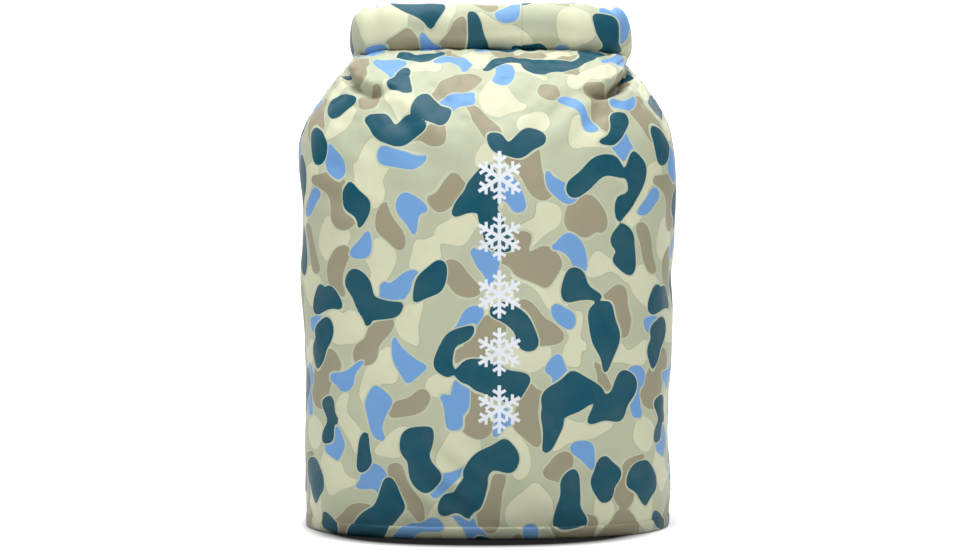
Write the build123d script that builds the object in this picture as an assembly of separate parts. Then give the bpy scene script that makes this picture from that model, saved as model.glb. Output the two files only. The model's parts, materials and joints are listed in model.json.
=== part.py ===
"""Roll-top insulated cooler bag, 15 litre size: soft insulated body, rolled and buckled mouth, rear hardware.

Millimetres. The origin is the centre of the base where it rests, +Z is up and the front faces -Y.
"""
from build123d import *
import math
import os

# ---------------------------------------------------------------- driving dimensions
BODY_WIDTH = 300.0          # widest place, just under the shoulders
BASE_WIDTH = 288.6          # fabric wall where it enters the base panel
BODY_DEPTH = 217.0
SHOULDER_START = 291.0      # height where the wall begins to close in
SHOULDER_TOP = 373.0        # flat top that the rolled mouth lies on
OVAL_POWER = 2.6            # 2 is an ellipse, more is squarer

FABRIC = 1.6                # coated outer fabric
PATCH = 1.2                 # welded patches on the outer fabric
FOAM = 12.0                 # wall insulation
BASE_FOAM = 14.0
LINER = 1.2
BASE_RIM_HEIGHT = 9.5       # base panel turned up outside the wall
BASE_RIM = 1.0
BASE_EDGE_RADIUS = 3.0

MOUTH_Y = -11.0             # centre of the neck slot, front to back
MOUTH_HALF_WIDTH = 84.0
MOUTH_HALF_GAP = 5.0

ROLL_HEIGHT = 40.0
ROLL_DEPTH = 36.0
ROLL_GAP = 0.5              # roll over the shoulder fabric
ROLL_Y = -18.0              # centre line of the front stretch
ROLL_FRONT_HALF = 72.0
ROLL_FRONT_BEND = 24.0
ROLL_ARM = 30.0
ROLL_REAR_BEND = 30.0
ROLL_REAR_STUB = 14.0
CORE_HEIGHT = 26.0          # pocket at the middle of the roll
CORE_WIDTH = 5.0
STIFFENER = 1.5             # thickness of the plastic strip at the mouth
STIFFENER_HEIGHT = 24.0

WEBBING_WIDTH = 25.0
WEBBING = 1.5

TAB_GAP = 0.25              # webbing over the gently curved patch
RING_WIRE = 2.25            # radius
RING_HALF_WIDTH = 16.0
RING_LEG = 5.0
RING_HEIGHTS = {"upper": 250.0, "lower": 52.0}

VALVE_X = 66.0
VALVE_Z = 70.0
KNOB_RADIUS = 13.0
KNOB_HEIGHT = 11.0
KNOB_RIBS = 18

os.makedirs("parts", exist_ok=True)
nodes = {}


# ---------------------------------------------------------------- soft body
# Each row of the body: height, half width, front and back of the oval section.
ROWS = [
    (FABRIC, BASE_WIDTH / 2 - 0.8, -106.6, 106.6),
    (12.0, BASE_WIDTH / 2 + 0.1, -107.6, 107.2),
    (65.0, 145.0, -BODY_DEPTH / 2, 107.5),
    (146.0, 146.7, -BODY_DEPTH / 2, 107.5),
    (226.0, 148.2, -BODY_DEPTH / 2, 107.5),
    (270.0, 149.6, -107.0, 107.0),
    (SHOULDER_START, BODY_WIDTH / 2, -104.0, 106.0),
    (312.0, 147.2, -97.0, 104.0),
    (328.0, 140.4, -86.0, 100.5),
    (342.0, 131.6, -73.5, 96.0),
    (354.0, 122.6, -60.0, 91.0),
    (365.0, 114.0, -47.0, 86.0),
    (SHOULDER_TOP, 106.0, -35.0, 80.0),
]


def oval_radius(angle, half_width, half_depth, power=OVAL_POWER):
    across = abs(math.cos(angle) / half_width) ** power
    along = abs(math.sin(angle) / half_depth) ** power
    return (across + along) ** (-1 / power)


def oval_wire(z, half_width, front, back, steps=36):
    middle = (front + back) / 2
    half_depth = (back - front) / 2
    points = []
    for i in range(steps):
        angle = 2 * math.pi * (i + 0.5) / steps
        radius = oval_radius(angle, half_width, half_depth)
        points.append((radius * math.cos(angle), middle + radius * math.sin(angle), z))
    return Wire([Edge.make_spline(points, periodic=True)])


def inset_row(i, inset):
    """Row i moved in along the wall's own slope, so that layers keep an even thickness."""
    z, half_width, front, back = ROWS[i]
    if i == 0:
        return z, half_width - inset, front + inset, back - inset
    if i == len(ROWS) - 1:
        side, up = 0.62, 1.0
    else:
        rise = ROWS[i + 1][0] - ROWS[i - 1][0]
        run = ROWS[i - 1][1] - ROWS[i + 1][1]
        side, up = rise / math.hypot(rise, run), max(run, 0.0) / math.hypot(rise, run)
    return z - inset * up, half_width - inset * side, front + inset * side, back - inset * side


def body_solid(inset):
    return Solid.make_loft([oval_wire(*inset_row(i, inset)) for i in range(len(ROWS))])


def slab(z_low, z_high):
    return Pos(0, 0, (z_low + z_high) / 2) * Box(400, 400, z_high - z_low)


def mouth_box(grow):
    return Pos(0, MOUTH_Y, SHOULDER_TOP - 10) * Box(
        2 * (MOUTH_HALF_WIDTH + grow), 2 * (MOUTH_HALF_GAP + grow), 60)


outside = body_solid(0)
behind_fabric = body_solid(FABRIC)
behind_foam = body_solid(FABRIC + FOAM)
cavity = body_solid(FABRIC + FOAM + LINER)
over_fabric = body_solid(-PATCH)

base_top = FABRIC + BASE_FOAM
sleeve = mouth_box(LINER) & slab(base_top + 300, SHOULDER_TOP)

nodes["outer_wall"] = outside - behind_fabric - mouth_box(LINER)
nodes["base_insulation"] = behind_fabric & slab(FABRIC, base_top)
nodes["wall_insulation"] = (behind_fabric - behind_foam - mouth_box(LINER)) & slab(base_top, SHOULDER_TOP)
nodes["liner_base"] = behind_foam & slab(base_top, base_top + LINER)
liner_shell = (behind_foam - cavity) & slab(base_top + LINER, SHOULDER_TOP)
nodes["liner_wall"] = liner_shell + (sleeve - cavity) - mouth_box(0)

rim = Face(oval_wire(0, BASE_WIDTH / 2 + BASE_RIM, -108.4, 108.2))
base_block = extrude(rim, BASE_RIM_HEIGHT, dir=(0, 0, 1))
base_block = fillet(base_block.edges().group_by(Axis.Z)[0], BASE_EDGE_RADIUS)
nodes["base_panel"] = base_block - outside


# ---------------------------------------------------------------- rear anchors and their rings
def back_surface(x, z):
    """Point of the outer fabric at the back, at x and z on the straight part of the wall."""
    lower = max(row for row in ROWS[:7] if row[0] <= z)
    upper = min(row for row in ROWS[:7] if row[0] > z)
    share = (z - lower[0]) / (upper[0] - lower[0])
    half_width, front, back = [lower[k] + share * (upper[k] - lower[k]) for k in (1, 2, 3)]
    middle = (front + back) / 2
    half_depth = (back - front) / 2
    return middle + half_depth * (1 - abs(x / half_width) ** OVAL_POWER) ** (1 / OVAL_POWER)


def welded_patch(outline):
    """A patch that follows the wall: the layer just outside the fabric, cut to an outline in X and Z."""
    cutter = extrude(Plane.XZ.offset(-60) * outline, -80)
    return (over_fabric - outside) & cutter


def anchor_tab(z):
    """Folded webbing sewn flat to the patch above the ring's bar and looped round the bar."""
    y_back = back_surface(0, z) + PATCH + TAB_GAP
    loop = RING_WIRE + 0.35
    bar_y = y_back + loop + WEBBING
    outer = loop + WEBBING
    outline = Polyline((outer, 0), (WEBBING - loop, 9), (WEBBING - loop, 34), (-outer, 34), (-outer, 0))
    outline += ThreePointArc((-outer, 0), (0, -outer), (outer, 0))
    profile = Pos(bar_y, z) * (make_face(outline) - Circle(loop))
    tab = extrude(Plane.YZ.offset(-WEBBING_WIDTH / 2) * profile, WEBBING_WIDTH, dir=(1, 0, 0))
    return tab, bar_y


def d_ring(bar_y, z):
    """Straight bar in the webbing, two legs and a half-round bow hanging down."""
    ring = Pos(0, bar_y, z) * Rot(0, 90, 0) * Cylinder(RING_WIRE, 2 * RING_HALF_WIDTH)
    bow = Pos(0, bar_y, z - RING_LEG) * Rot(90, 0, 0) * Torus(RING_HALF_WIDTH, RING_WIRE)
    ring += bow & Pos(0, bar_y, z - RING_LEG - 20) * Box(80, 20, 40)
    for side in (-1, 1):
        ring += Pos(side * RING_HALF_WIDTH, bar_y, z) * Sphere(RING_WIRE)
        ring += Pos(side * RING_HALF_WIDTH, bar_y, z - RING_LEG / 2) * Cylinder(RING_WIRE, RING_LEG)
    return ring


for place, bar_z in RING_HEIGHTS.items():
    patch_outline = Pos(0, bar_z + 8) * RectangleRounded(64, 66, 12)
    nodes[f"anchor_patch_{place}"] = welded_patch(patch_outline)
    tab, bar_y = anchor_tab(bar_z)
    nodes[f"anchor_webbing_{place}"] = tab
    nodes[f"d_ring_{place}"] = d_ring(bar_y, bar_z)


# ---------------------------------------------------------------- air valve on the back
valve_slope = (back_surface(VALVE_X + 1, VALVE_Z) - back_surface(VALVE_X - 1, VALVE_Z)) / 2
valve_normal = Vector(-valve_slope, 1, 0).normalized()
valve_origin = Vector(VALVE_X, back_surface(VALVE_X, VALVE_Z), VALVE_Z)
valve_plane = Plane(origin=valve_origin, x_dir=(0, 0, 1), z_dir=valve_normal)

FLANGE_RADIUS = 17.0
FLANGE_TOP = 3.0
BARREL_RADIUS = 8.0
BARREL_BORE = 5.5
BARREL_TOP = 6.0
BARREL_BOTTOM = -10.0
STEM_RADIUS = 4.0
STEM_HEAD = 9.0
KNOB_FLOOR = 3.6            # underside of the knob's skirt above the flange


def valve_part(z_low, z_high, radius):
    return valve_plane.location * Pos(0, 0, (z_low + z_high) / 2) * Cylinder(radius, z_high - z_low)


nodes["valve_patch"] = welded_patch(Pos(VALVE_X, VALVE_Z) * Circle(26)) - valve_part(-20, 20, BARREL_RADIUS)
flange = valve_part(-4, FLANGE_TOP, FLANGE_RADIUS) - over_fabric
barrel = valve_part(BARREL_BOTTOM, BARREL_TOP, BARREL_RADIUS)
nodes["valve_body"] = flange + barrel - valve_part(-20, 20, BARREL_BORE)
for layer in ("outer_wall", "wall_insulation"):
    nodes[layer] -= valve_part(BARREL_BOTTOM, 20, BARREL_RADIUS)
nodes["valve_seal"] = (valve_part(-7, -5, BARREL_BORE) - valve_part(-8, -4, STEM_RADIUS + 0.3))
nodes["valve_stem"] = valve_part(-8.5, STEM_HEAD, STEM_RADIUS) + valve_part(4.5, STEM_HEAD, STEM_RADIUS + 1.2)

knob = Pos(0, 0, KNOB_FLOOR + KNOB_HEIGHT / 2) * Cylinder(KNOB_RADIUS, KNOB_HEIGHT)
knob = fillet(knob.edges().group_by(Axis.Z)[-1], 2.0)
for i in range(KNOB_RIBS):
    groove = Rot(0, 0, 360 * i / KNOB_RIBS) * Pos(KNOB_RADIUS + 0.5, 0, KNOB_FLOOR + KNOB_HEIGHT / 2)
    knob -= groove * Cylinder(1.2, KNOB_HEIGHT + 2)
knob -= Pos(0, 0, KNOB_FLOOR) * Cylinder(BARREL_RADIUS + 1.2, 2 * (STEM_HEAD + 0.2 - KNOB_FLOOR))
knob -= Pos(0, 0, KNOB_FLOOR + KNOB_HEIGHT) * Box(4, 14, 2)
nodes["valve_knob"] = valve_plane.location * knob


# ---------------------------------------------------------------- rolled mouth
ROLL_Z = SHOULDER_TOP + ROLL_GAP + ROLL_HEIGHT / 2
ARM_X = ROLL_FRONT_HALF + ROLL_FRONT_BEND
ARM_START = ROLL_Y + ROLL_FRONT_BEND
ARM_END = ARM_START + ROLL_ARM
REAR_Y = ARM_END + ROLL_REAR_BEND
REAR_X = ARM_X - ROLL_REAR_BEND
ROLL_END_X = REAR_X - ROLL_REAR_STUB


def ring_sector(profile, centre_x, centre_y, start, sweep_angle):
    """A bend: the profile, drawn as (distance from the bend's centre, height), turned about Z."""
    face = Pos(centre_x, centre_y, 0) * Rot(0, 0, start) * (Plane.XZ * profile)
    return revolve(face, Axis((centre_x, centre_y, 0), (0, 0, 1)), sweep_angle)


def along_roll(profile_at, end_x=ROLL_END_X, with_rear=True):
    """Run a section round the roll's path. profile_at(offset) draws it about a place at that distance."""
    flat = profile_at(0)
    front = extrude(Pos(-ROLL_FRONT_HALF, ROLL_Y, 0) * (Plane.YZ * flat), 2 * ROLL_FRONT_HALF)
    solid = front
    for side in (-1, 1):
        start = -90 if side > 0 else 180
        solid += ring_sector(profile_at(ROLL_FRONT_BEND), side * ROLL_FRONT_HALF, ARM_START, start, 90)
        arm_face = Pos(side * ARM_X, ARM_START, 0) * (Plane.XZ * profile_at(0))
        solid += extrude(arm_face, -ROLL_ARM)
        start = 0 if side > 0 else 90
        solid += ring_sector(profile_at(ROLL_REAR_BEND), side * REAR_X, ARM_END, start, 90)
        if with_rear:
            low, high = sorted((side * end_x, side * REAR_X))
            solid += extrude(Pos(low, REAR_Y, 0) * (Plane.YZ * flat), high - low)
    return solid


def roll_outline(offset):
    return Pos(offset, ROLL_Z) * Ellipse(ROLL_DEPTH / 2, ROLL_HEIGHT / 2)


def strip(width, height):
    return lambda offset: Pos(offset, ROLL_Z) * Rectangle(width, height)


core = along_roll(strip(CORE_WIDTH, CORE_HEIGHT))
nodes["rolled_collar"] = along_roll(roll_outline) - core
nodes["mouth_stiffener"] = along_roll(strip(STIFFENER, STIFFENER_HEIGHT), with_rear=False)


# ---------------------------------------------------------------- closure webbing and side-release buckle
# The buckle lies behind the roll: its length runs along X, its width along Z and its thickness along Y.
BUCKLE_Y = REAR_Y + 5.0
SOCKET_LENGTH = 28.5
SOCKET_HALF_WIDTH = 17.0
SOCKET_HALF_THICKNESS = 4.8
POCKET_DEPTH = 23.0
POCKET_HALF_WIDTH = 13.1
POCKET_HALF_THICKNESS = 2.9
WINDOW = (11.0, 22.0)       # finger windows in the socket's sides, from and to along X
BAR_X = 33.2
BRACKET_INNER_Z = 13.2
BAR_RADIUS = 2.2
PLUG_LENGTH = 27.0
PLUG_HALF_WIDTH = 15.5
PLUG_HALF_THICKNESS = 3.4
RAIL = 2.4                  # side rails of the plug's webbing keeper
KEEPER_BAR_RADIUS = 1.5
KEEPER_BARS = (-6.0, -22.0)
PRONG_ROOT = 0.6
PRONG_LENGTH = 20.6
STRAP_END = REAR_X - 1.0    # webbing end, sewn inside the roll's pocket


def block(x_range, y_range, z_range):
    sizes = [high - low for low, high in (x_range, y_range, z_range)]
    middle = [(low + high) / 2 for low, high in (x_range, y_range, z_range)]
    return Pos(*middle) * Box(*sizes)


def both_sides(low, high):
    return (low, high), (-high, -low)


def buckle_socket():
    half_t = SOCKET_HALF_THICKNESS
    shell = block((0.4, SOCKET_LENGTH), (-half_t, half_t), (-SOCKET_HALF_WIDTH, SOCKET_HALF_WIDTH))
    shell = fillet(shell.edges().filter_by(Axis.X), 2.2)
    shell = fillet(shell.edges().group_by(Axis.X)[0], 0.9)
    inner = block((0, POCKET_DEPTH), (-POCKET_HALF_THICKNESS, POCKET_HALF_THICKNESS),
                  (-POCKET_HALF_WIDTH, POCKET_HALF_WIDTH))
    shell -= inner
    for z_range in both_sides(POCKET_HALF_WIDTH - 1, SOCKET_HALF_WIDTH + 1):
        shell -= block(WINDOW, (-POCKET_HALF_THICKNESS, POCKET_HALF_THICKNESS), z_range)
        bracket = sorted(math.copysign(z, z_range[0]) for z in (BRACKET_INNER_Z, SOCKET_HALF_WIDTH))
        shell += block((SOCKET_LENGTH - 1, BAR_X), (-BAR_RADIUS, BAR_RADIUS), bracket)
    shell += Pos(BAR_X, 0, 0) * Cylinder(BAR_RADIUS, 2 * SOCKET_HALF_WIDTH)
    for side in (-1, 1):
        recess = Pos(14.0, side * SOCKET_HALF_THICKNESS, 0) * Rot(90, 0, 0)
        shell -= recess * extrude(SlotOverall(16, 9), 0.5, both=True)
    return shell


def buckle_plug():
    half_t = PLUG_HALF_THICKNESS
    body = block((-PLUG_LENGTH, 0), (-half_t, half_t), (-PLUG_HALF_WIDTH, PLUG_HALF_WIDTH))
    body = fillet(body.edges().filter_by(Axis.X), 1.6)
    body = fillet(body.edges().group_by(Axis.X)[0], 1.2)
    keeper_low = REAR_Y - BUCKLE_Y - 2.6 - KEEPER_BAR_RADIUS
    for z_range in both_sides(PLUG_HALF_WIDTH - RAIL, PLUG_HALF_WIDTH):
        body += block((-PLUG_LENGTH + 1.5, -1.5), (keeper_low, 0), z_range)
    for x in KEEPER_BARS:
        bar = Pos(x, keeper_low + KEEPER_BAR_RADIUS, 0) * Cylinder(KEEPER_BAR_RADIUS, 2 * PLUG_HALF_WIDTH - 1)
        body += bar
    for x in (-20.5, -17.0, -13.5, -10.0):
        body -= Pos(x, half_t, 0) * Cylinder(0.7, 20)
    tongue = block((-1, 12), (-2.2, 2.2), (-3.2, 3.2))
    return body + fillet(tongue.edges().group_by(Axis.X)[-1], 1.0)


def buckle_prong():
    arm = Polygon((PRONG_ROOT, 8.0), (PRONG_ROOT + PRONG_LENGTH, 8.6), (PRONG_ROOT + PRONG_LENGTH, 10.2),
                  (19.0, 12.7), (12.6, 12.7), (11.6, 10.8), (PRONG_ROOT, 10.6), align=None)
    prong = extrude(Plane.XZ.offset(-2.4) * arm, 4.8)
    return prong


def closure_loop():
    """Right-hand webbing: sewn double, with its fold round the socket's bar."""
    rise = BUCKLE_Y - REAR_Y
    fold = Pos(BAR_X, rise) * Circle(BAR_RADIUS + 0.3 + WEBBING)
    taper = Polygon((BAR_X, rise + 4.0), (BAR_X, rise - 4.0), (50, -WEBBING), (50, WEBBING), align=None)
    tail = Pos((49 + STRAP_END) / 2, 0) * Rectangle(STRAP_END - 49, 2 * WEBBING)
    profile = fold + taper + tail - Pos(BAR_X, rise) * Circle(BAR_RADIUS + 0.3)
    return extrude(profile, WEBBING_WIDTH / 2, both=True)


buckle_place = Pos(0, BUCKLE_Y, ROLL_Z)
nodes["buckle_socket"] = buckle_place * buckle_socket()
nodes["buckle_plug"] = buckle_place * buckle_plug()
prong = buckle_prong()
nodes["buckle_prong_upper"] = buckle_place * prong
nodes["buckle_prong_lower"] = buckle_place * mirror(prong, about=Plane.XY)
nodes["closure_webbing_right"] = Pos(0, REAR_Y, ROLL_Z) * closure_loop()
nodes["closure_webbing_left"] = Pos(0, REAR_Y, ROLL_Z) * block(
    (-STRAP_END, -3.0), (-WEBBING / 2, WEBBING / 2), (-WEBBING_WIDTH / 2, WEBBING_WIDTH / 2))

for name, shape in nodes.items():
    export_step(shape, f"parts/{name}.step")
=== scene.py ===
import json
import math

import bpy
import numpy as np
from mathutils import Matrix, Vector
from mathutils.bvhtree import BVHTree


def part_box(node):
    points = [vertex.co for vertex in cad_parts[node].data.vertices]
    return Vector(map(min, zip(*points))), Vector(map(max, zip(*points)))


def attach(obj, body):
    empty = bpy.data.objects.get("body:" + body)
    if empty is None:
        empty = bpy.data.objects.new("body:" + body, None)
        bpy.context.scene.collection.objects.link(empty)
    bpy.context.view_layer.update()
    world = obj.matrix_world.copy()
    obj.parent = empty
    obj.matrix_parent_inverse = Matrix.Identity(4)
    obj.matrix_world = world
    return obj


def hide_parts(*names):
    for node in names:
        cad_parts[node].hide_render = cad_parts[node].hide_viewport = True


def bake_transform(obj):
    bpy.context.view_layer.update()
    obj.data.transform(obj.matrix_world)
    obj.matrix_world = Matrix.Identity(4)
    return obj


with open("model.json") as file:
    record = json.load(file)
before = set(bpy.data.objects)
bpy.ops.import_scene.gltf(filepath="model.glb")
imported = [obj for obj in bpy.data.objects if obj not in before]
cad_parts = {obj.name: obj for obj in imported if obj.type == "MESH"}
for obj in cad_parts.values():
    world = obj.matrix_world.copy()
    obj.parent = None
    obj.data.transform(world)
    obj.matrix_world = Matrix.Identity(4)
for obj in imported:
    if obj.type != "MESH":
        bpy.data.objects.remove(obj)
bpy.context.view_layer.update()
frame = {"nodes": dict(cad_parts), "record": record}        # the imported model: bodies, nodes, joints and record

MM = 0.001

# ---------------------------------------------------------------- places, all from the frame
wall_low, wall_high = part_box("outer_wall")
roll_low, roll_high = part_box("rolled_collar")
base_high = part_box("base_panel")[1]

NECK_Z = wall_high.z
ROLL_Z = (roll_low.z + roll_high.z) / 2
ROLL_HALF_HEIGHT = (roll_high.z - roll_low.z) / 2
ROLL_HALF_DEPTH = 18 * MM
ROLL_Y = roll_low.y + ROLL_HALF_DEPTH
ROLL_REAR_Y = roll_high.y - ROLL_HALF_DEPTH
ARM_X = roll_high.x - ROLL_HALF_DEPTH
FRONT_BEND = 24 * MM
REAR_BEND = 30 * MM
REAR_STUB = 12 * MM          # straight end of the roll behind, past the bend
ROLL_FRONT = ARM_X - FRONT_BEND      # half of the roll's straight front
MOUTH_HALF_GAP = 3 * MM     # from the roll's line to each of the flattened mouth's two layers
BASE_RIM_Z = base_high.z

# ---------------------------------------------------------------- mesh resolution
AROUND_SIM = 140            # columns of the simulated fabric
FINER = 3                   # the shown mesh has this many columns and rows for each simulated one
SIM_ROWS = 29
FREE_FROM_Z = 262 * MM      # below this the wall keeps the CAD's shape
SLACK = 1.045               # cut length of the fabric from there to the roll, for each metre of the taut way
LOWER_FINER = 5             # rows of the shown wall for each measured one, below there
COLUMNS = AROUND_SIM * FINER
CLOTH_FRAMES = 40
ALONG_CLOTH = np.linspace(0, 1, SIM_ROWS + 1)[:, None, None]
UP = np.array([0, 0, 1.0])
FORM_FOOT = 40 * MM         # the padded form starts this far below the free cloth
FORM_INSET = 1.6 * MM
TAUT_ROUNDS = 18            # times the paths over the shoulder are pulled straight and pushed out again
PULLS_A_ROUND = 4
LENGTH_PASSES = 30          # times the cut lengths of neighbouring columns are evened out


def rng(seed):
    """Seeded random numbers, so that each run gives the same bag."""
    return np.random.default_rng(seed)


def smoothstep(x):
    """A soft ramp from 0 to 1."""
    x = np.clip(x, 0, 1)
    return x * x * (3 - 2 * x)


def resample_closed(points, count):
    """count points spread evenly by length round a closed line, from its first point."""
    loop = np.vstack([points, points[:1]])
    along = np.concatenate([[0], np.cumsum(np.linalg.norm(np.diff(loop, axis=0), axis=1))])
    at = np.arange(count) / count * along[-1]
    return np.stack([np.interp(at, along, loop[:, k]) for k in range(3)], axis=1), along[-1]


def tree_of(piece):
    """A search tree over the triangles of a piece."""
    mesh = piece.data
    mesh.calc_loop_triangles()
    points = [v.co.copy() for v in mesh.vertices]
    return BVHTree.FromPolygons(points, [tuple(t.vertices) for t in mesh.loop_triangles])


def section_of_wall(tree, z, count, rays=720):
    """The outer section at height z, as points from the back centre round by the left, even by length."""
    found = []
    for i in range(rays):
        angle = math.pi / 2 + 2 * math.pi * i / rays
        inward = Vector((-math.cos(angle), -math.sin(angle), 0))
        hit = tree.ray_cast(Vector((0, 0, z)) - inward * 0.5, inward)[0]
        through_a_hole = hit is not None and hit.dot(inward) >= 0
        if hit is not None and not through_a_hole:
            found.append(hit)
    points = np.array(found, float)
    return resample_closed(points, count)


# ---------------------------------------------------------------- the rolled mouth's line
def roll_line(distance, outward=0.0):
    """Place on the roll's line at a signed distance from the front centre, moved outward, and its normal."""
    side = np.where(distance < 0, -1.0, 1.0)
    d = np.abs(distance)
    front = ROLL_FRONT
    bend = FRONT_BEND * math.pi / 2
    arm = ROLL_REAR_Y - REAR_BEND - ROLL_Y - FRONT_BEND
    rear = REAR_BEND * math.pi / 2
    x = np.minimum(d, front)
    y = np.full_like(d, ROLL_Y)
    nx = np.zeros_like(d)
    ny = -np.ones_like(d)
    a = np.clip((d - front) / FRONT_BEND, 0, math.pi / 2)
    turning = d > front
    x = np.where(turning, front + FRONT_BEND * np.sin(a), x)
    y = np.where(turning, ROLL_Y + FRONT_BEND * (1 - np.cos(a)), y)
    nx = np.where(turning, np.sin(a), nx)
    ny = np.where(turning, -np.cos(a), ny)
    on_arm = d > front + bend
    y = np.where(on_arm, ROLL_Y + FRONT_BEND + np.minimum(d - front - bend, arm), y)
    b = np.clip((d - front - bend - arm) / REAR_BEND, 0, math.pi / 2)
    behind = d > front + bend + arm
    x = np.where(behind, ARM_X - REAR_BEND * (1 - np.cos(b)), x)
    y = np.where(behind, ROLL_REAR_Y - REAR_BEND * (1 - np.sin(b)), y)
    nx = np.where(behind, np.cos(b), nx)
    ny = np.where(behind, np.sin(b), ny)
    last = d > front + bend + arm + rear
    x = np.where(last, ARM_X - REAR_BEND - (d - front - bend - arm - rear), x)
    x, nx = x * side, nx * side
    return x + outward * nx, y + outward * ny, nx, ny


ROLL_HALF_LENGTH = (ROLL_FRONT + FRONT_BEND * math.pi / 2
                    + (ROLL_REAR_Y - REAR_BEND - ROLL_Y - FRONT_BEND) + REAR_BEND * math.pi / 2 + REAR_STUB)


# ---------------------------------------------------------------- closing the tube: cloth simulation
def grid_mesh(name, points, closed_round=True):
    """A mesh of quads from points[row, column], joined round the columns."""
    rows, columns = points.shape[:2]
    mesh = bpy.data.meshes.new(name)
    index = np.arange(rows * columns).reshape(rows, columns)
    right = np.roll(index, -1, axis=1)
    quads = np.stack([index[:-1], right[:-1], right[1:], index[1:]], axis=-1)
    if not closed_round:
        quads = quads[:, :-1]
    mesh.from_pydata(points.reshape(-1, 3).tolist(), [], quads.reshape(-1, 4).tolist())
    mesh.update()
    piece = bpy.data.objects.new(name, mesh)
    bpy.context.scene.collection.objects.link(piece)
    return piece


def neck_targets(perimeter, count):
    """Where each column of the tube ends: the flattened mouth, two layers along the roll's line."""
    s = (np.arange(count) / count - 0.5) * perimeter
    quarter = perimeter / 4
    front_layer = np.abs(s) <= quarter
    share = np.where(front_layer, np.abs(s), perimeter / 2 - np.abs(s)) / quarter
    distance = np.sign(s) * share * ROLL_HALF_LENGTH
    x, y, _, _ = roll_line(distance, outward=np.where(front_layer, MOUTH_HALF_GAP, -MOUTH_HALF_GAP))
    z = np.full_like(x, NECK_Z + 5 * MM)
    return np.stack([x, y, z], axis=1)


def padded_form(tree):
    """The padded shoulder under the fabric, as a closed form that the cloth rests on."""
    rise = np.sin(np.linspace(0, math.pi / 2, 24))
    heights = FREE_FROM_Z - FORM_FOOT + (NECK_Z - 0.6 * MM - FREE_FROM_Z + FORM_FOOT) * rise
    rows = np.array([section_of_wall(tree, float(z), 160, rays=480)[0] for z in heights])
    rows[..., :2] *= 1 - FORM_INSET / np.hypot(rows[..., 0], rows[..., 1])[..., None]
    top = rows[-1:] * [0.02, 0.02, 1.0]
    bottom = rows[:1] * [0.02, 0.02, 1.0]
    return np.concatenate([bottom, rows, top])


def push_out(points, tree, gap):
    """Move the points that are inside the form, or nearer than gap, to gap outside it."""
    flat = points.reshape(-1, 3)
    for i, point in enumerate(flat):
        place, normal, _, _ = tree.find_nearest(Vector(point), 0.09)
        if place is None:
            continue
        depth = (Vector(point) - place).dot(normal)
        if depth < gap:
            flat[i] = place + normal * gap
    return flat.reshape(points.shape)


def taut_paths(section, ends, tree):
    """The shortest way of each column from the wall over the padded shoulder to the roll."""
    t = ALONG_CLOTH
    a, d = section[None], ends[None]
    b = a + UP * 80 * MM
    c = d + (a - d) * [0.45, 0.45, 0.0] + UP * 4 * MM
    paths = a * (1 - t) ** 3 + 3 * b * t * (1 - t) ** 2 + 3 * c * t ** 2 * (1 - t) + d * t ** 3
    for _ in range(TAUT_ROUNDS):
        for _ in range(PULLS_A_ROUND):
            paths[1:-1] = 0.5 * paths[1:-1] + 0.25 * (paths[2:] + paths[:-2])
        paths[1:-1] = push_out(paths[1:-1], tree, 2.0 * MM)
    return paths


def make_cloth(cloth, rest, count):
    """Give the piece its cut shape, pins at both edges and the stiffness of coated fabric."""
    cloth.shape_key_add(name="start")
    key = cloth.shape_key_add(name="cut")
    key.data.foreach_set("co", rest.reshape(-1))
    pins = cloth.vertex_groups.new(name="held")
    held = list(range(2 * count)) + list(range(SIM_ROWS * count, (SIM_ROWS + 1) * count))
    pins.add(held, 1.0, "REPLACE")
    modifier = cloth.modifiers.new("cloth", "CLOTH")
    s = modifier.settings
    s.quality = 7
    s.mass = 0.25
    s.tension_stiffness = 30
    s.compression_stiffness = 30
    s.shear_stiffness = 12
    s.bending_stiffness = 3.0
    s.tension_damping = s.compression_damping = s.shear_damping = 15
    s.bending_damping = 1.5
    s.air_damping = 3
    s.vertex_group_mass = "held"
    s.rest_shape_key = key
    s.use_pressure = True
    s.uniform_pressure_force = 1.2
    s.effector_weights.gravity = 0
    modifier.collision_settings.use_self_collision = False
    modifier.collision_settings.use_collision = True
    modifier.collision_settings.collision_quality = 3
    modifier.collision_settings.distance_min = 1.0 * MM
    modifier.point_cache.frame_start = 1
    modifier.point_cache.frame_end = CLOTH_FRAMES


def simulate_closing(section, perimeter, form):
    """Cloth: a straight tube, its mouth gathered to the roll's line, laid over the padded shoulder."""
    count = len(section)
    padding = grid_mesh("padding", form)
    tree = tree_of(padding)
    start = taut_paths(section, neck_targets(perimeter, count), tree)
    lengths = np.linalg.norm(np.diff(start, axis=0), axis=2).sum(axis=0)
    for _ in range(LENGTH_PASSES):
        lengths = 0.5 * lengths + 0.25 * (np.roll(lengths, 1) + np.roll(lengths, -1))
    noise = rng(7).normal(0, 0.4 * MM, start.shape)
    noise[:2] = 0
    noise[-1] = 0
    cloth = grid_mesh("closing_cloth", start + noise)
    rest = section[None] + UP * ALONG_CLOTH * (lengths * SLACK)[None, :, None]
    make_cloth(cloth, rest, count)
    padding.modifiers.new("collision", "COLLISION")
    padding.collision.thickness_outer = 0.6 * MM
    padding.collision.cloth_friction = 4
    scene = bpy.context.scene
    for frame_number in range(1, CLOTH_FRAMES + 1):
        scene.frame_set(frame_number)
    evaluated = cloth.evaluated_get(bpy.context.evaluated_depsgraph_get())
    result = np.zeros(len(evaluated.data.vertices) * 3)
    evaluated.data.vertices.foreach_get("co", result)
    result = result.reshape(SIM_ROWS + 1, count, 3)
    scene.frame_set(1)
    bpy.data.objects.remove(cloth)
    bpy.data.objects.remove(padding)
    result = push_out(result, tree, 0.8 * MM)
    hugging = push_out(start.copy(), tree, 1.2 * MM)
    share = smoothstep((ALONG_CLOTH - 0.02) / 0.4)
    return hugging * (1 - share) + result * share, float(lengths.mean() * SLACK)


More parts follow.
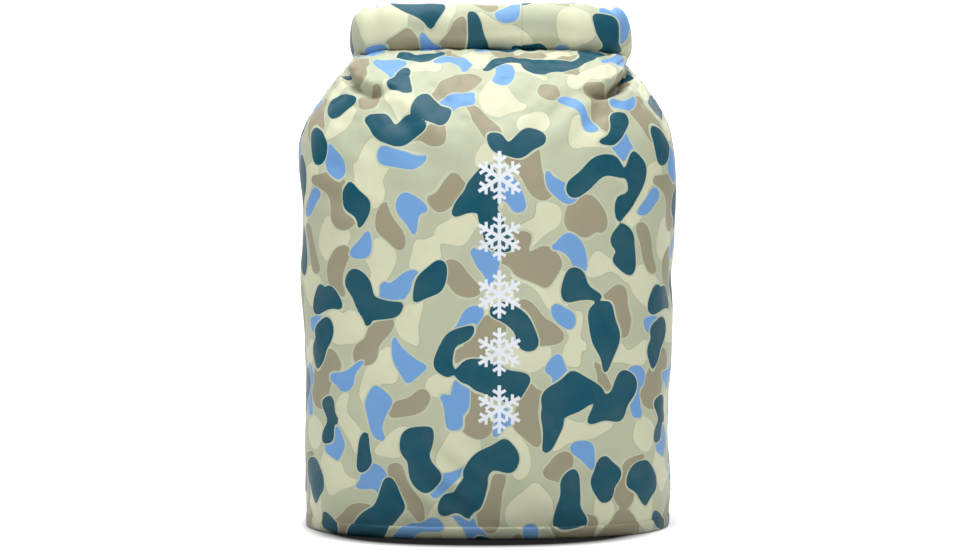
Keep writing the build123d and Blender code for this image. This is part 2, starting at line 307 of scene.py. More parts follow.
def finer(points, factor, axis, closed):
    """Catmull-Rom points between the rows or columns of a grid."""
    p = np.moveaxis(points, axis, 0)
    if closed:
        before, here, after, beyond = np.roll(p, 1, 0), p, np.roll(p, -1, 0), np.roll(p, -2, 0)
    else:
        ends = np.concatenate([2 * p[:1] - p[1:2], p, 2 * p[-1:] - p[-2:-1]])
        before, here, after, beyond = ends[:-3], ends[1:-2], ends[2:-1], ends[3:]
    steps = []
    for k in range(factor):
        t = k / factor
        steps.append(0.5 * (2 * here + (after - before) * t
                            + (2 * before - 5 * here + 4 * after - beyond) * t * t
                            + (3 * here - before - 3 * after + beyond) * t ** 3))
    out = np.stack(steps, axis=1).reshape(-1, *p.shape[1:])
    if not closed:
        out = np.concatenate([out, p[-1:]])
    return np.moveaxis(out, 0, axis)


def waves(a, b, seed, terms, a_wave, b_wave):
    """A smooth random surface from -1 to 1: a sum of sines over the coordinates a and b."""
    r = rng(seed)
    total = np.zeros(np.broadcast(a, b).shape)
    for _ in range(terms):
        ka = 2 * math.pi / (a_wave * r.uniform(0.7, 1.6)) * r.choice([-1, 1])
        kb = 2 * math.pi / (b_wave * r.uniform(0.7, 1.6))
        total = total + np.sin(ka * a + kb * b + r.uniform(0, 2 * math.pi))
    return total / math.sqrt(terms) / 1.4


def row_normals(points):
    """Outward normals of a grid that is closed round its columns."""
    along = np.roll(points, -1, axis=1) - np.roll(points, 1, axis=1)
    up = np.gradient(points, axis=0)
    n = np.cross(along, up)
    return n / np.maximum(np.linalg.norm(n, axis=-1, keepdims=True), 1e-12)


# ---------------------------------------------------------------- printed camouflage, in flat fabric places
INKS = {   # colour in linear light, blobs in a repeat, head radius, blob length
    "cream": ((0.500, 0.505, 0.360), 50, (8.0, 12.5), (10, 34)),
    "taupe": ((0.250, 0.228, 0.154), 42, (8.0, 12.5), (10, 36)),
    "blue": ((0.120, 0.262, 0.500), 42, (5.5, 8.5), (8, 24)),
    "teal": ((0.0020, 0.058, 0.090), 46, (7.5, 12.0), (10, 33)),
}
REPEAT_HEIGHT = 480.0
SMOOTHING = 2.3
DISC_STEP = 5.5
WARP = 4.5
OWN_INK_NEARER = 0.55


class Print:
    """Rounded camouflage blobs over a repeat of the fabric. All sizes here are millimetres."""

    def __init__(self, repeat_width, seed):
        self.width = repeat_width
        self.blobs = {}
        r = rng(seed)
        earlier = []
        for ink, (_, count, radii, lengths) in INKS.items():
            self.blobs[ink] = []
            own = []
            for _ in range(count):
                own.append(self.roomiest(r, own, earlier))
                self.blobs[ink].append(self.blob(r, own[-1], radii, lengths))
            earlier += own

    def roomiest(self, r, own, earlier):
        """The place, of many tried, that is farthest from all blobs, and most of all from its own ink's."""
        best, best_room = None, -1.0
        for _ in range(60):
            c = np.array([r.uniform(0, self.width), r.uniform(0, REPEAT_HEIGHT)])
            room = min([OWN_INK_NEARER * self.apart(c, o) for o in own] + [self.apart(c, o) for o in earlier],
                       default=1.0)
            if room > best_room:
                best, best_room = c, room
        return best

    def apart(self, a, b):
        """Distance between two places, where the print repeats both ways."""
        dx, dy = abs(a[0] - b[0]), abs(a[1] - b[1])
        return math.hypot(min(dx, self.width - dx), min(dy, REPEAT_HEIGHT - dy))

    def blob(self, r, centre, radii, lengths):
        """Discs on a curved spine: a comma with a tail, a waisted bean or an oval, some with a side lobe."""
        heading = r.normal(math.pi / 2, 0.75) + math.pi * r.integers(0, 2)
        bend = r.choice([-1, 1]) * r.uniform(0.05, 0.30)
        head = r.uniform(*radii)
        count = 2 + int(r.uniform(*lengths) / DISC_STEP)
        kind = r.choice(["comma", "bean", "oval"], p=[0.42, 0.38, 0.20])
        at, found = np.zeros(2), []
        for t in np.linspace(0, 1, count):
            share = {"comma": 1 - 0.72 * t ** 1.3, "bean": 0.72 + 0.28 * math.cos(2 * math.pi * t),
                     "oval": 0.80 + 0.2 * math.sin(math.pi * t)}[kind]
            found.append((at[0], at[1], head * share))
            heading += bend * r.uniform(0.5, 1.5)
            at = at + DISC_STEP * np.array([math.cos(heading), math.sin(heading)])
        if r.random() < 0.4:
            x, y, radius = found[int(r.integers(0, max(1, count // 2)))]
            side = heading + r.choice([-1, 1]) * math.pi / 2
            for k in (1, 2):
                reach = k * DISC_STEP * 1.15
                lobe = (x + reach * math.cos(side), y + reach * math.sin(side), radius * (0.78 - 0.18 * k))
                found.append(lobe)
        found = np.array(found)
        found[:, :2] += centre - found[:, :2].mean(0)
        return found

    def distance(self, ink, u, v):
        """Signed distance in mm from the edge of an ink's blobs, negative inside."""
        total = np.full(u.shape, math.exp(-12.0 / SMOOTHING))
        a, b = 2 * math.pi * u / self.width, 2 * math.pi * v / REPEAT_HEIGHT
        u, v = (u + WARP * (np.sin(5 * b + 2 * a) + 0.5 * np.sin(9 * b - 6 * a + 1)),
                v + WARP * (np.sin(4 * a - 5 * b + 2) + 0.5 * np.sin(7 * a + 8 * b)))
        for blob in self.blobs[ink]:
            reach = blob[:, 2].max() + 12
            middle = (blob[:, :2].min(0) + blob[:, :2].max(0)) / 2
            half = (blob[:, :2].max(0) - blob[:, :2].min(0)) / 2 + reach
            du = np.mod(u - middle[0] + self.width / 2, self.width) - self.width / 2
            dv = np.mod(v - middle[1] + REPEAT_HEIGHT / 2, REPEAT_HEIGHT) - REPEAT_HEIGHT / 2
            near = (np.abs(du) < half[0]) & (np.abs(dv) < half[1])
            if not near.any():
                continue
            for x, y, radius in blob:
                across, up = du[near] + middle[0] - x, dv[near] + middle[1] - y
                total[near] += np.exp(-(np.hypot(across, up) - radius) / SMOOTHING)
        return -SMOOTHING * np.log(total)


def at_face_corners(piece, u):
    """Values at the faces' corners, going on past the end where the piece closes round on itself."""
    corners = np.empty(len(piece.data.loops), dtype=np.int32)
    piece.data.loops.foreach_get("vertex_index", corners)
    values = u.ravel()[corners].reshape(-1, 4)
    whole_turn = (u.max() - u.min()) * u.shape[1] / (u.shape[1] - 1)
    closes = values.max(axis=1, keepdims=True) - values.min(axis=1, keepdims=True) > whole_turn / 2
    return np.where(closes & (values < 0), values + whole_turn, values)


def print_on(piece, camouflage, u, v):
    """Store the flat fabric coordinates, in mm, and each ink's distance on the piece."""
    values = at_face_corners(piece, u).ravel()
    piece.data.attributes.new("flat_u", "FLOAT", "CORNER").data.foreach_set("value", values)
    piece.data.attributes.new("flat_v", "FLOAT", "POINT").data.foreach_set("value", v.ravel())
    for ink in INKS:
        values = camouflage.distance(ink, u, v).ravel()
        piece.data.attributes.new("ink_" + ink, "FLOAT", "POINT").data.foreach_set("value", values)


# ---------------------------------------------------------------- the body fabric
def lower_wall(tree, step=13 * MM):
    """The straight wall from the base up to where the cloth is free, as rows of points."""
    low = wall_low.z + 0.5 * MM
    heights = np.linspace(low, FREE_FROM_Z, int(round((FREE_FROM_Z - low) / step)) + 1)
    rows = [section_of_wall(tree, float(z), AROUND_SIM, rays=360)[0] for z in heights]
    return np.array(rows), heights


def clear_of_fittings(points):
    """0 where a patch or the valve is welded on, rising to 1 beside it."""
    share = np.ones(points.shape[:2])
    for node in ("anchor_patch_upper", "anchor_patch_lower", "valve_patch"):
        low, high = (np.array(corner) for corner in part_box(node))
        away = np.linalg.norm(np.maximum(np.maximum(low - points, points - high), 0), axis=-1)
        share = np.minimum(share, smoothstep((away - 2 * MM) / (14 * MM)))
    return share


CRUMPLES = [   # centre u and v, radius, heading in degrees, wave, height; u is from the front centre
    (-37, 46, 30, 52, 21, 1.3), (-58, 318, 44, 38, 36, 1.7), (66, 322, 34, -42, 28, 1.3),
    (112, 226, 34, 82, 32, 0.9), (-100, 128, 32, -64, 26, 0.8), (52, 118, 40, 20, 38, 0.7),
    (-14, 246, 46, -25, 42, 0.8), (-118, 262, 32, 70, 24, 1.0), (96, 44, 30, -50, 24, 0.9),
]


def crumples(u, v):
    """Short groups of soft folds in the wall, each fading out at its own radius."""
    total = np.zeros(u.shape)
    for cu, cv, radius, heading, wave, height in CRUMPLES:
        du, dv = u - cu * MM, v - cv * MM
        turned = math.cos(math.radians(heading)) * du + math.sin(math.radians(heading)) * dv
        fold = np.sin(2 * math.pi * turned / (wave * MM) + 0.6)
        total += height * MM * fold * np.exp(-(du ** 2 + dv ** 2) / (radius * MM) ** 2)
    return total


PILLOWS = ((-1, 4.0 * MM, 8.0 * MM), (1, 5.5 * MM, 13.0 * MM))   # side, puff, depth of the fold
PILLOW_OUT = 0.74           # the pillow's middle, as a share of the roll's half width
PILLOW_RADIUS = 29 * MM
FOLD_HALF_WIDTH = 3.6 * MM


def corner_pillows(points, normals):
    """Both upper front corners puff out over a fold that runs from the roll's end down and inward."""
    for side, puff, groove in PILLOWS:
        x = (points[..., 0] - side * PILLOW_OUT * roll_high.x) * side
        z = points[..., 2] - (NECK_Z - 5 * MM)
        inside = PILLOW_RADIUS - np.hypot(x, z)
        angle = np.degrees(np.arctan2(z, x))
        share = smoothstep((angle + 125) / 60) * smoothstep((25 - angle) / 25)
        share = share * smoothstep((10 * MM - points[..., 1]) / (25 * MM))
        rise = puff * smoothstep(inside / (7 * MM)) * np.exp(-np.maximum(inside, 0) / (26 * MM))
        cut = groove * np.exp(-((inside + 1.5 * MM) / FOLD_HALF_WIDTH) ** 2)
        ripple = 0.9 * MM * np.exp(-(inside / (30 * MM)) ** 2) * np.sin(np.radians(angle) * 9 + side)
        points = points + normals * (share * (rise - cut + ripple))[..., None]
    return points


def soft_dents(u, v, points):
    """Height of the wall's dents and folds, clear of the fittings, and of the ripple at the base's weld."""
    broad = 1.3 * MM * waves(u, v, 3, 7, 0.10, 0.12)
    close = 0.5 * MM * waves(u, v, 4, 8, 0.045, 0.06)
    dents = (broad + close + crumples(u, v)) * clear_of_fittings(points)
    dents = dents * smoothstep(v / (30 * MM)) * smoothstep((NECK_Z + 45 * MM - v) / (50 * MM))
    at_weld = np.exp(-((v - BASE_RIM_Z) / (9 * MM)) ** 2)
    return dents + 0.45 * MM * at_weld * waves(u, v, 5, 5, 0.022, 0.5)


def puckers(u, v, perimeter):
    """Height of the small gathers where the front of the fabric goes in under the roll."""
    under_roll = np.exp(-((v - NECK_Z - 34 * MM) / (13 * MM)) ** 2) * (np.abs(u) < perimeter / 5)
    return 0.9 * MM * under_roll * waves(u, v, 8, 7, 0.017, 0.07)


def body_fabric(camouflage_seed=11):
    """The wall's fabric from the base to the roll, over its padding."""
    tree = tree_of(frame["nodes"]["outer_wall"])
    wall, heights = lower_wall(tree)
    perimeter = section_of_wall(tree, FREE_FROM_Z, AROUND_SIM)[1]
    form = padded_form(tree)
    top, length = simulate_closing(wall[-1], perimeter, form)
    wall = finer(finer(wall, LOWER_FINER, 0, False), FINER, 1, True)
    top = finer(finer(top, FINER, 0, False), FINER, 1, True)
    points = np.concatenate([wall, top[1:]])
    v = np.concatenate([finer(heights[:, None], LOWER_FINER, 0, False)[:, 0],
                        FREE_FROM_Z + np.linspace(0, 1, len(top))[1:] * length])
    u = (np.arange(COLUMNS) / COLUMNS - 0.5) * perimeter
    u, v = np.meshgrid(u, v)
    normals = row_normals(points)
    soft = soft_dents(u, v, points)
    points = corner_pillows(points, normals)
    points = points + normals * puckers(u, v, perimeter)[..., None]
    points = points + normals * soft[..., None]
    piece = grid_mesh("body_fabric", points)
    camouflage = Print(perimeter / 3 / MM, camouflage_seed)
    print_on(piece, camouflage, u / MM, v / MM)
    return piece, camouflage, perimeter


# ---------------------------------------------------------------- the rolled mouth
SEAM_AT = 25 * MM
ROLL_SHIFT = 2.4 * MM       # the mouth is rolled a little off centre
TURNS = 2.35
TURN_PITCH = 6.6 * MM       # each turn of the roll lies this much inside the one before
ROLLED_THICKNESS = 4.2 * MM
SQUARENESS = 2.7            # of the roll's section, where 2 is an ellipse
ROLL_COLUMNS = 171
POINTS_A_TURN = 52


def roll_wrinkles(s, th, bend_share):
    """Height of the wrinkles, most at the bends, and of the gathers along the lower edge."""
    wrinkle = 1.5 * MM * bend_share * waves(s, th * 0.02, 22, 5, 0.017, 0.09)
    wrinkle = wrinkle + 0.7 * MM * waves(s, th * 0.02, 23, 6, 0.034, 0.05)
    turned = np.mod(th, 2 * math.pi)
    under = np.exp(-((turned - 2 * math.pi) / 0.9) ** 2) + np.exp(-(turned / 0.9) ** 2)
    return wrinkle + 2.1 * MM * under * waves(s, 0 * th, 24, 5, 0.036, 1.0)


def front_crease(s, across, height):
    """Depth of the wandering crease along the front of the roll, a little below its middle."""
    from_crease = height + 4 * MM - 2.2 * MM * np.sin(s / (17 * MM))
    crease = -1.1 * MM * np.exp(-(from_crease / (3.4 * MM)) ** 2)
    return crease * (across > 0.5) * smoothstep((ROLL_FRONT * 1.1 - np.abs(s)) / (20 * MM))


def roll_fabric(camouflage):
    """The rolled mouth: a spiral sheet along the roll's line, with the tube's overlap weld as a step."""
    columns = np.linspace(-ROLL_HALF_LENGTH, ROLL_HALF_LENGTH, ROLL_COLUMNS)
    columns = np.sort(np.concatenate([columns, [SEAM_AT - 0.05 * MM, SEAM_AT + 0.05 * MM]]))
    theta = np.linspace(0, TURNS * 2 * math.pi, int(POINTS_A_TURN * TURNS))
    s, th = np.meshgrid(columns, theta)
    x, y, nx, ny = roll_line(s)
    bend_share = smoothstep((np.abs(s) - ROLL_FRONT * 0.86) / (30 * MM))
    shrink = TURN_PITCH * np.maximum(th / (2 * math.pi) - 0.75, 0)
    half_depth = ROLL_HALF_DEPTH - shrink
    half_height = ROLL_HALF_HEIGHT + 2.2 * MM * bend_share - shrink
    power = 2.0 / SQUARENESS
    across = -np.sign(np.sin(th)) * np.abs(np.sin(th)) ** power
    up = -np.sign(np.cos(th)) * np.abs(np.cos(th)) ** power
    swell = 1 + 0.035 * waves(s, th * 0.02, 21, 6, 0.085, 0.12)
    wrinkle = roll_wrinkles(s, th, bend_share)
    crease = front_crease(s, across, up * half_height)
    out = across * half_depth * swell + (wrinkle + crease) * across
    rise = up * half_height * swell + wrinkle * up
    overlap = 0.45 * MM * (s > SEAM_AT) * (np.abs(s - SEAM_AT) < 12 * MM)
    out = out + overlap * across
    rise = rise + overlap * up
    sag = -3.2 * MM * bend_share
    shift = ROLL_SHIFT * smoothstep((ROLL_REAR_Y - y) / (30 * MM))
    points = np.stack([x + shift + out * nx, y + out * ny, ROLL_Z + sag + rise], axis=-1)
    piece = grid_mesh("rolled_mouth", points, closed_round=False)
    u = s / MM + 60 + 5.0 * (s > SEAM_AT)
    v = 470 + th * (ROLL_HALF_DEPTH - shrink / 2) / MM + 3.0 * (s > SEAM_AT)
    print_on(piece, camouflage, u, v)
    thick = piece.modifiers.new("layer", "SOLIDIFY")
    thick.thickness = ROLLED_THICKNESS
    thick.offset = 1
    return piece


# ---------------------------------------------------------------- the base panel
RIM_FOOT_Z = 3.2 * MM       # the rim is upright down to here and rounds under below
RIM_TOP_INSET = 0.8 * MM
LIP_INSET = 2.6 * MM
UNDER_INSET = 1.2 * MM
UNDERSIDE = [   # inset in UNDER_INSET, height in RIM_FOOT_Z
    (0.25, 0.55), (0.7, 0.16), (1.5, 0.02), (3.5, 0.0), (12.0, 0.0), (40.0, 0.0), (80.0, 0.0),
]


def base_fabric(camouflage, perimeter):
    """The base's turned-up rim, its rounded lower edge and the underside."""
    tree = tree_of(frame["nodes"]["base_panel"])
    low, high = RIM_FOOT_Z, BASE_RIM_Z
    heights = np.linspace(high - 0.2 * MM, low, 4)
    rows = [section_of_wall(tree, float(z), COLUMNS, rays=720)[0] for z in heights]
    rows[0][:, :2] *= 1 - RIM_TOP_INSET / np.hypot(rows[0][:, 0], rows[0][:, 1])[:, None]
    lip = rows[0] * (1 - LIP_INSET / np.hypot(rows[0][:, 0], rows[0][:, 1]))[:, None]
    lip[:, 2] = high + 0.3 * MM
    rows.insert(0, lip)
    side = rows[-1]
    reach = np.hypot(side[:, 0], side[:, 1])[:, None]
    for inset, height in UNDERSIDE:
        row = side * (1 - inset * UNDER_INSET / reach)
        row[:, 2] = height * low
        rows.append(row)
    points = np.array(rows)
    u = (np.arange(COLUMNS) / COLUMNS - 0.5) * perimeter
    lengths = np.concatenate([[0], np.cumsum(np.linalg.norm(np.diff(points[:, 0], axis=0), axis=1))])
    u, v = np.meshgrid(u, high - lengths)
    ripple = 0.3 * MM * waves(u, v, 6, 6, 0.024, 0.6) * (v > 0)
    points[..., :2] *= 1 + (ripple / np.maximum(np.hypot(points[..., 0], points[..., 1]), MM))[..., None]
    piece = grid_mesh("base_fabric", points[::-1])
    print_on(piece, camouflage, (u / MM)[::-1], (v / MM)[::-1])
    return piece


# ---------------------------------------------------------------- materials
class Nodes:
    """A short way to write a node tree: each call makes a node and returns its output."""

    def __init__(self, name):
        self.material = bpy.data.materials.new(name)
        self.material.use_nodes = True
        self.tree = self.material.node_tree
        self.tree.nodes.clear()
        self.shader = self.tree.nodes.new("ShaderNodeBsdfPrincipled")
        output = self.tree.nodes.new("ShaderNodeOutputMaterial")
        self.tree.links.new(self.shader.outputs[0], output.inputs["Surface"])

    def put(self, socket, value):
        if isinstance(value, bpy.types.NodeSocket):
            self.tree.links.new(value, socket)
        elif value is not None:
            socket.default_value = value

    def attribute(self, name):
        node = self.tree.nodes.new("ShaderNodeAttribute")
        node.attribute_name = name
        return node.outputs["Fac"]

    def math(self, operation, a, b=0.0, c=None):
        node = self.tree.nodes.new("ShaderNodeMath")
        node.operation = operation
        self.put(node.inputs[0], a)
        self.put(node.inputs[1], b)
        if c is not None:
            self.put(node.inputs[2], c)
        return node.outputs[0]

    def below(self, value, edge, soft=0.16):
        """1 where value is under edge, 0 over it, with a soft step."""
        node = self.tree.nodes.new("ShaderNodeMapRange")
        node.interpolation_type = "SMOOTHSTEP"
        self.put(node.inputs["Value"], value)
        node.inputs["From Min"].default_value = edge - soft
        node.inputs["From Max"].default_value = edge + soft
        node.inputs["To Min"].default_value = 1.0
        node.inputs["To Max"].default_value = 0.0
        return node.outputs[0]

    def spread(self, value, low, high, to_low, to_high):
        node = self.tree.nodes.new("ShaderNodeMapRange")
        for key, number in (("From Min", low), ("From Max", high), ("To Min", to_low), ("To Max", to_high)):
            node.inputs[key].default_value = number
        self.put(node.inputs["Value"], value)
        return node.outputs[0]

    def mix(self, share, a, b):
        node = self.tree.nodes.new("ShaderNodeMix")
        node.data_type = "RGBA"
        self.put(node.inputs[0], share)
        self.put(node.inputs[6], a if isinstance(a, bpy.types.NodeSocket) else (*a, 1.0))
        self.put(node.inputs[7], b if isinstance(b, bpy.types.NodeSocket) else (*b, 1.0))
        return node.outputs[2]

    def join(self, x, y, z=0.0):
        node = self.tree.nodes.new("ShaderNodeCombineXYZ")
        for socket, value in zip(node.inputs, (x, y, z)):
            self.put(socket, value)
        return node.outputs[0]

    def place(self):
        return self.tree.nodes.new("ShaderNodeTexCoord").outputs["Object"]

    def noise(self, scale, detail=2.0, rough=0.5, vector=None):
        node = self.tree.nodes.new("ShaderNodeTexNoise")
        node.inputs["Scale"].default_value = scale
        node.inputs["Detail"].default_value = detail
        node.inputs["Roughness"].default_value = rough
        self.put(node.inputs["Vector"], vector or self.place())
        return node.outputs["Fac"]

    def bump(self, height, strength, distance, normal=None):
        node = self.tree.nodes.new("ShaderNodeBump")
        node.inputs["Strength"].default_value = strength
        node.inputs["Distance"].default_value = distance
        self.put(node.inputs["Height"], height)
        if normal is not None:
            self.put(node.inputs["Normal"], normal)
        return node.outputs[0]

    def surface(self, colour, roughness, normal=None, **constants):
        s = self.shader
        plain = not isinstance(colour, bpy.types.NodeSocket)
        self.put(s.inputs["Base Color"], (*colour, 1.0) if plain else colour)
        self.put(s.inputs["Roughness"], roughness)
        if normal is not None:
            self.put(s.inputs["Normal"], normal)
        for key, value in constants.items():
            s.inputs[key.replace("_", " ")].default_value = value
        return self.material


GROUND = (0.365, 0.388, 0.278)
HALO = (0.405, 0.440, 0.322)
MOTIF_WHITE = (0.60, 0.63, 0.68)
MOTIF_U, MOTIF_V = 9.0, (76.0, 291.0)      # where the column of snowflakes is printed, in flat fabric mm
MOTIF_PITCH = 43.0
WELD_WIDTH = 12.0
THREAD_WAVE = 0.62                         # mm from thread to thread in the printed fabric's weave
RIB_PITCH = 1.4 * MM                       # of the webbing
PICK_PITCH = 1.1 * MM


def snowflakes(n, u, v):
    """Signed distance, in mm, from a column of plain six-armed snowflakes."""
    across = n.math("SUBTRACT", u, MOTIF_U)
    up = n.math("SUBTRACT", n.math("FLOORED_MODULO", n.math("SUBTRACT", v, MOTIF_V[0]), MOTIF_PITCH),
                MOTIF_PITCH / 2)
    radius = n.math("SQRT", n.math("ADD", n.math("MULTIPLY", across, across), n.math("MULTIPLY", up, up)))
    folded = n.math("PINGPONG", n.math("ARCTAN2", across, up), math.pi / 6)
    x = n.math("MULTIPLY", radius, n.math("COSINE", folded))
    y = n.math("MULTIPLY", radius, n.math("SINE", folded))
    shape = n.math("MAXIMUM", n.math("SUBTRACT", y, 1.35), n.math("SUBTRACT", x, 18.0))
    for root, length in ((6.5, 5.5), (11.5, 5.5)):
        out = n.math("SUBTRACT", x, root)
        along = n.math("ADD", n.math("MULTIPLY", out, 0.5), n.math("MULTIPLY", y, math.sin(math.pi / 3)))
        aside = n.math("ABSOLUTE", n.math("SUBTRACT", n.math("MULTIPLY", y, 0.5),
                                          n.math("MULTIPLY", out, math.sin(math.pi / 3))))
        branch = n.math("MAXIMUM", n.math("SUBTRACT", aside, 1.15), n.math("SUBTRACT", along, length))
        branch = n.math("MAXIMUM", branch, n.math("MULTIPLY", along, -1.0))
        shape = n.math("MINIMUM", shape, branch)
    above = n.math("SUBTRACT", v, MOTIF_V[1])
    under = n.math("SUBTRACT", MOTIF_V[0], v)
    return n.math("MAXIMUM", shape, n.math("MAXIMUM", above, under))


def printed_fabric(name, shade=1.0, motif=False, weld_at=None):
    n = Nodes(name)
    u, v = n.attribute("flat_u"), n.attribute("flat_v")
    flat = n.join(u, v)
    # shade under 1 darkens the ground, halos and inks: painted shade, used for the base's rim and underside
    colour = tuple(c * shade for c in GROUND)
    for ink, (rgb, *_) in INKS.items():
        edge = n.attribute("ink_" + ink)
        if ink == "cream":
            colour = n.mix(n.below(edge, 0.5, 0.25), colour, tuple(0.86 * c * shade for c in GROUND))
        else:
            colour = n.mix(n.below(edge, 1.1), colour, tuple(c * shade for c in HALO))
        colour = n.mix(n.below(edge, 0.0), colour, tuple(c * shade for c in rgb))
    if motif:
        colour = n.mix(n.below(snowflakes(n, u, v), 0.0, 0.12), colour, MOTIF_WHITE)
    mottle = n.noise(0.035, 3.0, 0.6, flat)
    colour = n.mix(n.spread(mottle, 0.35, 0.75, 0.0, 0.10), colour, tuple(0.55 * c for c in GROUND))
    across = n.math("SINE", n.math("MULTIPLY", u, 2 * math.pi / THREAD_WAVE))
    along = n.math("SINE", n.math("MULTIPLY", v, 2 * math.pi / THREAD_WAVE))
    weave = n.math("MULTIPLY", across, along)
    fine = n.bump(weave, 0.10, 0.00006)
    if weld_at is not None:
        aside = n.math("SUBTRACT", n.math("ABSOLUTE", n.math("SUBTRACT", u, weld_at)), WELD_WIDTH / 2)
        overlap = n.below(aside, 0.0, 0.35)
        fine = n.bump(overlap, 1.0, 0.0005, fine)
        edge = n.math("MULTIPLY", n.below(n.math("ABSOLUTE", aside), 0.25, 0.2), 0.45)
        colour = n.mix(edge, colour, tuple(0.35 * c for c in GROUND))
    grain = n.noise(1.4, 3.0, 0.6, flat)
    pebbled = n.bump(grain, 0.16, 0.00025, fine)
    creases = n.noise(0.075, 2.0, 0.45, flat)
    normal = n.bump(creases, 0.22, 0.0022, pebbled)
    roughness = n.spread(grain, 0.3, 0.7, 0.38, 0.48)
    return n.surface(colour, roughness, normal, Specular_IOR_Level=0.14)


def moulded_plastic(name, rgb):
    n = Nodes(name)
    grain = n.noise(2600.0, 2.0, 0.6)
    rub = n.noise(90.0, 3.0, 0.6)
    colour = n.mix(n.spread(rub, 0.45, 0.8, 0.0, 0.35), rgb, tuple(2.2 * c + 0.01 for c in rgb))
    return n.surface(colour, n.spread(rub, 0.3, 0.7, 0.36, 0.52), n.bump(grain, 0.25, 0.00008),
                     Specular_IOR_Level=0.5)


def woven_webbing(name, rgb):
    n = Nodes(name)
    separate = n.tree.nodes.new("ShaderNodeSeparateXYZ")
    n.put(separate.inputs[0], n.place())
    x, y, z = separate.outputs
    ribs = n.math("SINE", n.math("MULTIPLY", z, 2 * math.pi / RIB_PITCH))
    picks = n.math("SINE", n.math("MULTIPLY", n.math("ADD", x, y), 2 * math.pi / PICK_PITCH))
    weave = n.math("MULTIPLY", ribs, picks)
    fuzz = n.noise(1500.0, 2.0, 0.7)
    colour = n.mix(n.spread(weave, -1.0, 1.0, 0.0, 0.55), rgb, tuple(2.6 * c + 0.012 for c in rgb))
    return n.surface(colour, n.spread(fuzz, 0.3, 0.7, 0.62, 0.82), n.bump(weave, 0.6, 0.0003),
                     Sheen_Weight=0.3, Sheen_Roughness=0.4)


def satin_metal(name, rgb):
    n = Nodes(name)
    scratch = n.noise(700.0, 4.0, 0.7)
    roughness = n.spread(scratch, 0.3, 0.7, 0.22, 0.38)
    return n.surface(rgb, roughness, n.bump(scratch, 0.12, 0.00004), Metallic=1.0)


def foam(name):
    n = Nodes(name)
    cells = n.noise(1800.0, 2.0, 0.6)
    return n.surface(n.mix(cells, (0.72, 0.72, 0.69), (0.86, 0.86, 0.84)), 0.85, n.bump(cells, 0.6, 0.0003))


def coated_cloth(name, rgb):
    n = Nodes(name)
    grain = n.noise(900.0, 3.0, 0.6)
    cloud = n.noise(45.0, 2.0, 0.5)
    colour = n.mix(n.spread(cloud, 0.35, 0.7, 0.0, 0.3), rgb, tuple(1.5 * c + 0.006 for c in rgb))
    return n.surface(colour, n.spread(grain, 0.3, 0.7, 0.45, 0.62), n.bump(grain, 0.35, 0.00015),
                     Sheen_Weight=0.15, Sheen_Roughness=0.5)


def soft_rubber(name):
    n = Nodes(name)
    grain = n.noise(1200.0, 2.0, 0.5)
    return n.surface((0.022, 0.022, 0.024), n.spread(grain, 0.3, 0.7, 0.5, 0.7), n.bump(grain, 0.3, 0.0001))


def dress(piece, material):
    piece.data.materials.clear()
    piece.data.materials.append(material)


def shade_smooth(piece):
    piece.data.shade_smooth()


# ---------------------------------------------------------------- build
body, camouflage, perimeter = body_fabric()
roll = roll_fabric(camouflage)
base = base_fabric(camouflage, perimeter)
print_material = printed_fabric("printed_coated_fabric", motif=True, weld_at=(perimeter / 2 - SEAM_AT) / MM)
roll_material = printed_fabric("printed_coated_fabric_roll")
# painted shade: the base's copy of the print is 0.8 as dark as the wall's
base_material = printed_fabric("printed_coated_fabric_base_painted_shade", shade=0.8)
for piece, material in ((body, print_material), (roll, roll_material), (base, base_material)):
    dress(piece, material)
    shade_smooth(piece)
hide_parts("outer_wall", "wall_insulation")
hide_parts("rolled_collar")
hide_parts("base_panel")
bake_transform(body)
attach(roll, "rolled_top")
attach(base, "bag")

plastic = moulded_plastic("moulded_plastic", (0.012, 0.012, 0.014))
webbing = woven_webbing("woven_webbing", (0.010, 0.014, 0.018))
patch = coated_cloth("patch_cloth", (0.012, 0.045, 0.062))
FINISHES = {
    "insulation_foam": foam("insulation_foam"),
    "liner_fabric": coated_cloth("liner_cloth", (0.55, 0.58, 0.58)),
    "patch_fabric": patch,
    "webbing": webbing,
    "hard_plastic": plastic,
    "valve_plastic": plastic,
    "seal_rubber": soft_rubber("seal_rubber"),
    "stiffener_plastic": moulded_plastic("stiffener_plastic", (0.45, 0.45, 0.43)),
    "ring_metal": satin_metal("ring_metal", (0.40, 0.41, 0.43)),
}
for part in frame["record"]["subparts"]:
    if part["material_slot"] in FINISHES:
        dress(frame["nodes"][part["node"]], FINISHES[part["material_slot"]])


# ---------------------------------------------------------------- floor, light and camera
SHADOW_ROUND = 2.4          # exponent of the painted contact shadow's outline, where 2 is an ellipse


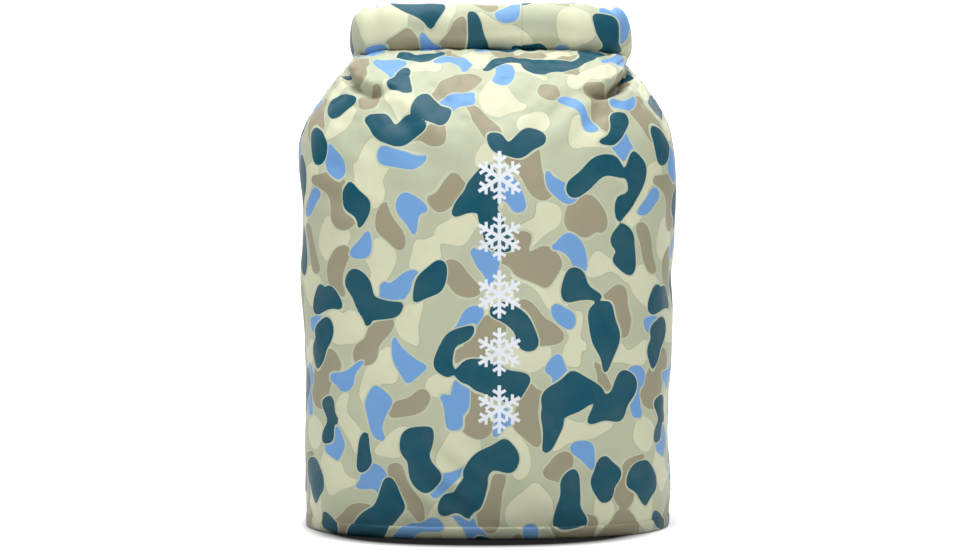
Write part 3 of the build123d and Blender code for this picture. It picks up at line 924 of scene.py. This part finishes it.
def backdrop_paper_painted_shadow():
    """White paper that glows more the farther it is from the bag, with a soft painted contact shadow round the
    base.
    """
    n = Nodes("backdrop_paper_painted_shadow")
    separate = n.tree.nodes.new("ShaderNodeSeparateXYZ")
    n.put(separate.inputs[0], n.place())
    x, y = separate.outputs[0], separate.outputs[1]
    along = n.math("DIVIDE", n.math("ADD", x, 5 * MM), base_high.x - 14 * MM)
    across = n.math("DIVIDE", n.math("ADD", y, 20 * MM), base_high.y + 16 * MM)
    total = n.math("ADD", n.math("POWER", n.math("ABSOLUTE", along), SHADOW_ROUND),
                   n.math("POWER", n.math("ABSOLUTE", across), SHADOW_ROUND))
    reach = n.math("POWER", total, 1 / SHADOW_ROUND)
    # painted shadow: the paper's colour goes from near black round the base to white, a contact shadow painted
    # in, not cast
    shade = n.spread(reach, 0.93, 1.10, 0.0, 1.0)
    colour = n.mix(n.math("SMOOTH_MIN", shade, 1.0, 0.1), (0.015, 0.015, 0.015), (0.95, 0.95, 0.95))
    # painted light: the paper glows, from none near the bag to more farther away
    n.put(n.shader.inputs["Emission Strength"], n.spread(n.math("ABSOLUTE", y), 0.25, 1.2, 0.0, 0.6))
    return n.surface(colour, 0.9, Emission_Color=(1, 1, 1, 1), Specular_IOR_Level=0.0)


PAPER_HALF = 5.0            # metres from the middle to the paper's sides and front edge
PAPER_TURN_Y = 1.6          # where the paper starts to sweep up behind the bag
PAPER_BEND = 1.2
PAPER_TOP = 4.5
WORLD_STRENGTH = 0.27
LAMPS = (   # name, place, size, power, aim
    ("top_softbox", (-0.1, -0.3, 1.4), 1.1, 27.0, (0, 0, 0.28)),
    ("front_softbox", (0.5, -1.7, 1.5), 1.2, 11.0, (0, 0, 0.15)),
    ("rear_softbox", (0.4, 1.4, 1.5), 1.4, 12.0, (0, 0, 0.2)),
)
CAMERA_AT = (1.2 * MM, -1.5, 0.198)
CAMERA_LENS = 68.5          # mm, for a sensor 36 mm wide


def backdrop_sheet():
    """Paper that lies flat under the bag and sweeps up behind it."""
    angles = np.linspace(0, math.pi / 2, 25)
    profile = [(-PAPER_HALF, 0.0)]
    profile += [(PAPER_TURN_Y + PAPER_BEND * math.sin(a), PAPER_BEND * (1 - math.cos(a))) for a in angles]
    profile.append((PAPER_TURN_Y + PAPER_BEND, PAPER_TOP))
    points = np.array([[(x, y, z) for x in (-PAPER_HALF, PAPER_HALF)] for y, z in profile])
    return grid_mesh("backdrop", points, closed_round=False)


def studio():
    """The backdrop, a white world and three soft lamps."""
    backdrop = backdrop_sheet()
    shade_smooth(backdrop)
    dress(backdrop, backdrop_paper_painted_shadow())
    world = bpy.data.worlds.new("studio")
    world.use_nodes = True
    background = world.node_tree.nodes["Background"]
    background.inputs["Color"].default_value = (1.0, 1.0, 1.0, 1.0)
    background.inputs["Strength"].default_value = WORLD_STRENGTH
    bpy.context.scene.world = world
    for name, place, size, power, aim in LAMPS:
        lamp = bpy.data.lights.new(name, "AREA")
        lamp.size = size
        lamp.energy = power
        light = bpy.data.objects.new(name, lamp)
        light.location = place
        light.rotation_euler = (Vector(aim) - Vector(place)).to_track_quat("-Z", "Y").to_euler()
        bpy.context.scene.collection.objects.link(light)


def look():
    """A level camera straight in front, at a little under the bag's middle height."""
    camera_data = bpy.data.cameras.new("camera")
    camera_data.lens = CAMERA_LENS
    camera_data.sensor_width = 36.0
    camera = bpy.data.objects.new("camera", camera_data)
    camera.location = CAMERA_AT
    camera.rotation_euler = (math.pi / 2, 0, 0)
    bpy.context.scene.collection.objects.link(camera)
    bpy.context.scene.camera = camera
    bpy.context.scene.view_settings.view_transform = "Standard"


studio()
look()
